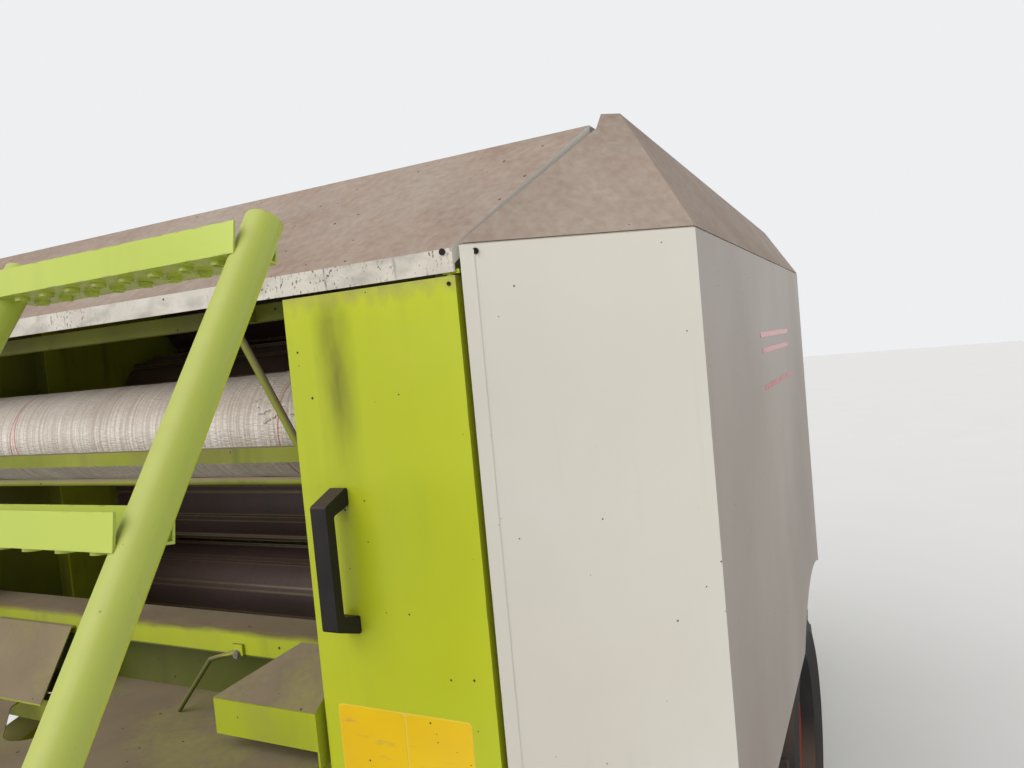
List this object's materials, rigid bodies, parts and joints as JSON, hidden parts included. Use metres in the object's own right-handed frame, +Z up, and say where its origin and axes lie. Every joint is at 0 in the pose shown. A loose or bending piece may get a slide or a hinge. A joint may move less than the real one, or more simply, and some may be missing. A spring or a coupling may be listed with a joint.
{
  "type": "round baler",
  "caption": "Towed round baler with a fixed roller chamber, front net wrap box, tined pick-up, hinged side covers and a lifting tailgate",
  "frame": {"origin": "on the ground, under the middle of the machine's overall length and width", "axes": "+Z up, the drawbar and the driver's tractor towards -Y, the machine's left side towards +X"},
  "size_m": [2.418, 4.5079, 2.305],
  "materials": {
    "green_paint": "semi-gloss, dusty",
    "white_paint": "gloss, dusty on top",
    "grey_steel": "worn, dull",
    "worn_steel": "polished by the crop on the ribs",
    "tyre_rubber": "dusty",
    "red_paint": "semi-gloss",
    "black_plastic": "moulded",
    "net_wrap": "knitted plastic net",
    "rod_chrome": "hard chrome",
    "lamp_red": "moulded lens"
  },
  "bodies": {
    "chassis": {"chamber_wall_left": "green_paint", "chamber_wall_right": "green_paint", "axle": "grey_steel", "drawbar": "green_paint", "gearbox": "grey_steel", "drive_shaft": "black_plastic", "jack_sleeve": "grey_steel", "front_beam": "green_paint", "net_box": "green_paint", "side_frame": "green_paint", "hinge_frame": "green_paint", "roof_deck": "white_paint", "platform": "green_paint"},
    "tailgate": {"tailgate_shell": "green_paint", "tailgate_guards": "white_paint", "rear_lamps": "lamp_red"},
    "barrel_left": {"cylinder_barrel_left": "grey_steel"},
    "rod_left": {"cylinder_rod_left": "rod_chrome"},
    "barrel_right": {"cylinder_barrel_right": "grey_steel"},
    "rod_right": {"cylinder_rod_right": "rod_chrome"},
    "roller_01": {"chamber_roller_01": "worn_steel"},
    "roller_02": {"chamber_roller_02": "worn_steel"},
    "roller_03": {"chamber_roller_03": "worn_steel"},
    "roller_04": {"chamber_roller_04": "worn_steel"},
    "roller_05": {"chamber_roller_05": "worn_steel"},
    "roller_06": {"chamber_roller_06": "worn_steel"},
    "roller_07": {"chamber_roller_07": "worn_steel"},
    "roller_08": {"chamber_roller_08": "worn_steel"},
    "roller_09": {"chamber_roller_09": "worn_steel"},
    "roller_10": {"chamber_roller_10": "worn_steel"},
    "roller_11": {"chamber_roller_11": "worn_steel"},
    "roller_12": {"chamber_roller_12": "worn_steel"},
    "roller_13": {"chamber_roller_13": "worn_steel"},
    "roller_14": {"chamber_roller_14": "worn_steel"},
    "roller_15": {"chamber_roller_15": "worn_steel"},
    "net_roll": {"net_roll": "net_wrap"},
    "feed_rotor": {"feed_rotor": "worn_steel"},
    "pickup": {"pickup_sides": "green_paint", "pickup_arms": "green_paint", "pickup_tube": "green_paint"},
    "pickup_reel": {"pickup_reel": "worn_steel"},
    "wind_guard": {"wind_guard": "green_paint", "guard_arms": "green_paint"},
    "gauge_wheel_left": {"gauge_wheel_left": "tyre_rubber"},
    "gauge_wheel_right": {"gauge_wheel_right": "tyre_rubber"},
    "wheel_left": {"tyre_left": "tyre_rubber", "rim_left": "red_paint"},
    "side_cover_left": {"side_cover_left": "white_paint", "cover_roof_left": "white_paint"},
    "front_door_left": {"front_door_left": "green_paint", "door_handle_left": "black_plastic"},
    "wheel_right": {"tyre_right": "tyre_rubber", "rim_right": "red_paint"},
    "side_cover_right": {"side_cover_right": "white_paint", "cover_roof_right": "white_paint"},
    "front_door_right": {"front_door_right": "green_paint", "door_handle_right": "black_plastic"},
    "hood": {"hood": "white_paint"},
    "ladder": {"ladder": "green_paint"},
    "jack_leg": {"jack_leg": "grey_steel"}
  },
  "joints": [
    {"name": "tailgate_lift", "type": "hinge", "parent": "chassis", "child": "tailgate", "pos_m": [0, 1.451, 2.275], "axis": [1, 0, 0], "range_deg": [0, 70]},
    {"name": "barrel_turn_left", "type": "hinge", "parent": "chassis", "child": "barrel_left", "pos_m": [0.765, 1.121, 1.125], "axis": [1, 0, 0], "range_deg": [-2.93, 0.2]},
    {"name": "rod_slide_left", "type": "slide", "parent": "barrel_left", "child": "rod_left", "axis": [0, 0.5247, 0.8513], "range_m": [-0.001, 0.5004]},
    {"name": "barrel_turn_right", "type": "hinge", "parent": "chassis", "child": "barrel_right", "pos_m": [-0.765, 1.121, 1.125], "axis": [1, 0, 0], "range_deg": [-2.93, 0.2]},
    {"name": "rod_slide_right", "type": "slide", "parent": "barrel_right", "child": "rod_right", "axis": [0, 0.5247, 0.8513], "range_m": [-0.001, 0.5004]},
    {"name": "roller_01_turn", "type": "hinge", "parent": "chassis", "child": "roller_01", "pos_m": [0, 1.306, 2.137], "axis": [1, 0, 0], "continuous": true},
    {"name": "roller_02_turn", "type": "hinge", "parent": "chassis", "child": "roller_02", "pos_m": [0, 1.01631, 2.07938], "axis": [1, 0, 0], "continuous": true},
    {"name": "roller_03_turn", "type": "hinge", "parent": "chassis", "child": "roller_03", "pos_m": [0, 0.77072, 1.91528], "axis": [1, 0, 0], "continuous": true},
    {"name": "roller_04_turn", "type": "hinge", "parent": "chassis", "child": "roller_04", "pos_m": [0, 0.60662, 1.66969], "axis": [1, 0, 0], "continuous": true},
    {"name": "roller_05_turn", "type": "hinge", "parent": "chassis", "child": "roller_05", "pos_m": [0, 0.549, 1.38], "axis": [1, 0, 0], "continuous": true},
    {"name": "roller_06_turn", "type": "hinge", "parent": "chassis", "child": "roller_06", "pos_m": [0, 0.60662, 1.09031], "axis": [1, 0, 0], "continuous": true},
    {"name": "roller_07_turn", "type": "hinge", "parent": "chassis", "child": "roller_07", "pos_m": [0, 1.01631, 0.68062], "axis": [1, 0, 0], "continuous": true},
    {"name": "roller_08_turn", "type": "hinge", "parent": "chassis", "child": "roller_08", "pos_m": [0, 1.306, 0.623], "axis": [1, 0, 0], "continuous": true},
    {"name": "roller_09_turn", "type": "hinge", "parent": "tailgate", "child": "roller_09", "pos_m": [0, 1.59569, 0.68062], "axis": [1, 0, 0], "continuous": true},
    {"name": "roller_10_turn", "type": "hinge", "parent": "tailgate", "child": "roller_10", "pos_m": [0, 1.84128, 0.84472], "axis": [1, 0, 0], "continuous": true},
    {"name": "roller_11_turn", "type": "hinge", "parent": "tailgate", "child": "roller_11", "pos_m": [0, 2.00538, 1.09031], "axis": [1, 0, 0], "continuous": true},
    {"name": "roller_12_turn", "type": "hinge", "parent": "tailgate", "child": "roller_12", "pos_m": [0, 2.063, 1.38], "axis": [1, 0, 0], "continuous": true},
    {"name": "roller_13_turn", "type": "hinge", "parent": "tailgate", "child": "roller_13", "pos_m": [0, 2.00538, 1.66969], "axis": [1, 0, 0], "continuous": true},
    {"name": "roller_14_turn", "type": "hinge", "parent": "tailgate", "child": "roller_14", "pos_m": [0, 1.84128, 1.91528], "axis": [1, 0, 0], "continuous": true},
    {"name": "roller_15_turn", "type": "hinge", "parent": "tailgate", "child": "roller_15", "pos_m": [0, 1.59569, 2.07938], "axis": [1, 0, 0], "continuous": true},
    {"name": "net_roll_turn", "type": "hinge", "parent": "chassis", "child": "net_roll", "pos_m": [0, 0.094, 1.615], "axis": [1, 0, 0], "continuous": true},
    {"name": "feed_rotor_turn", "type": "hinge", "parent": "chassis", "child": "feed_rotor", "pos_m": [0, 0.606, 0.64], "axis": [1, 0, 0], "continuous": true},
    {"name": "pickup_lift", "type": "hinge", "parent": "chassis", "child": "pickup", "pos_m": [0, 0.606, 0.64], "axis": [-1, 0, 0], "range_deg": [-6, 10]},
    {"name": "pickup_reel_turn", "type": "hinge", "parent": "pickup", "child": "pickup_reel", "pos_m": [0, 0.214, 0.33], "axis": [1, 0, 0], "continuous": true},
    {"name": "wind_guard_lift", "type": "hinge", "parent": "pickup", "child": "wind_guard", "pos_m": [0, 0.516, 0.66], "axis": [-1, 0, 0], "range_deg": [0, 8]},
    {"name": "gauge_wheel_turn_left", "type": "hinge", "parent": "pickup", "child": "gauge_wheel_left", "pos_m": [1.105, 0.296, 0.24], "axis": [1, 0, 0], "continuous": true},
    {"name": "gauge_wheel_turn_right", "type": "hinge", "parent": "pickup", "child": "gauge_wheel_right", "pos_m": [-1.105, 0.296, 0.24], "axis": [1, 0, 0], "continuous": true},
    {"name": "wheel_turn_left", "type": "hinge", "parent": "chassis", "child": "wheel_left", "pos_m": [0.98, 1.366, 0.435], "axis": [1, 0, 0], "continuous": true},
    {"name": "side_cover_swing_left", "type": "hinge", "parent": "chassis", "child": "side_cover_left", "pos_m": [1.182, 1.528, 1.4], "axis": [0, 0, 1], "range_deg": [0, 95]},
    {"name": "front_door_swing_left", "type": "hinge", "parent": "chassis", "child": "front_door_left", "pos_m": [0.893, -0.082, 1.35], "axis": [0, 0, 1], "range_deg": [0, 100]},
    {"name": "wheel_turn_right", "type": "hinge", "parent": "chassis", "child": "wheel_right", "pos_m": [-0.98, 1.366, 0.435], "axis": [1, 0, 0], "continuous": true},
    {"name": "side_cover_swing_right", "type": "hinge", "parent": "chassis", "child": "side_cover_right", "pos_m": [-1.182, 1.528, 1.4], "axis": [0, 0, -1], "range_deg": [0, 95]},
    {"name": "front_door_swing_right", "type": "hinge", "parent": "chassis", "child": "front_door_right", "pos_m": [-0.893, -0.082, 1.35], "axis": [0, 0, -1], "range_deg": [0, 100]},
    {"name": "hood_lift", "type": "hinge", "parent": "chassis", "child": "hood", "pos_m": [0, 0.606, 2.066], "axis": [-1, 0, 0], "range_deg": [0, 55]},
    {"name": "ladder_fold", "type": "hinge", "parent": "chassis", "child": "ladder", "pos_m": [0.6275, -0.914, 1.08], "axis": [1, 0, 0], "range_deg": [0, 188]},
    {"name": "jack_leg_slide", "type": "slide", "parent": "chassis", "child": "jack_leg", "axis": [0, 0, 1], "range_m": [0, 0.2]}
  ],
  "couplings": [
    {"joint": "barrel_turn_left", "follows": "tailgate_lift", "ratio": -0.038988},
    {"joint": "rod_slide_left", "follows": "tailgate_lift", "m_per_rad": 0.40798},
    {"joint": "barrel_turn_right", "follows": "tailgate_lift", "ratio": -0.038988},
    {"joint": "rod_slide_right", "follows": "tailgate_lift", "m_per_rad": 0.40798},
    {"joint": "roller_01_turn", "follows": "roller_06_turn", "ratio": 1},
    {"joint": "roller_02_turn", "follows": "roller_06_turn", "ratio": 1},
    {"joint": "roller_03_turn", "follows": "roller_06_turn", "ratio": 1},
    {"joint": "roller_04_turn", "follows": "roller_06_turn", "ratio": 1},
    {"joint": "roller_05_turn", "follows": "roller_06_turn", "ratio": 1},
    {"joint": "roller_07_turn", "follows": "roller_06_turn", "ratio": 1},
    {"joint": "roller_08_turn", "follows": "roller_06_turn", "ratio": 1},
    {"joint": "roller_09_turn", "follows": "roller_06_turn", "ratio": 1},
    {"joint": "roller_10_turn", "follows": "roller_06_turn", "ratio": 1},
    {"joint": "roller_11_turn", "follows": "roller_06_turn", "ratio": 1},
    {"joint": "roller_12_turn", "follows": "roller_06_turn", "ratio": 1},
    {"joint": "roller_13_turn", "follows": "roller_06_turn", "ratio": 1},
    {"joint": "roller_14_turn", "follows": "roller_06_turn", "ratio": 1},
    {"joint": "roller_15_turn", "follows": "roller_06_turn", "ratio": 1}
  ]
}
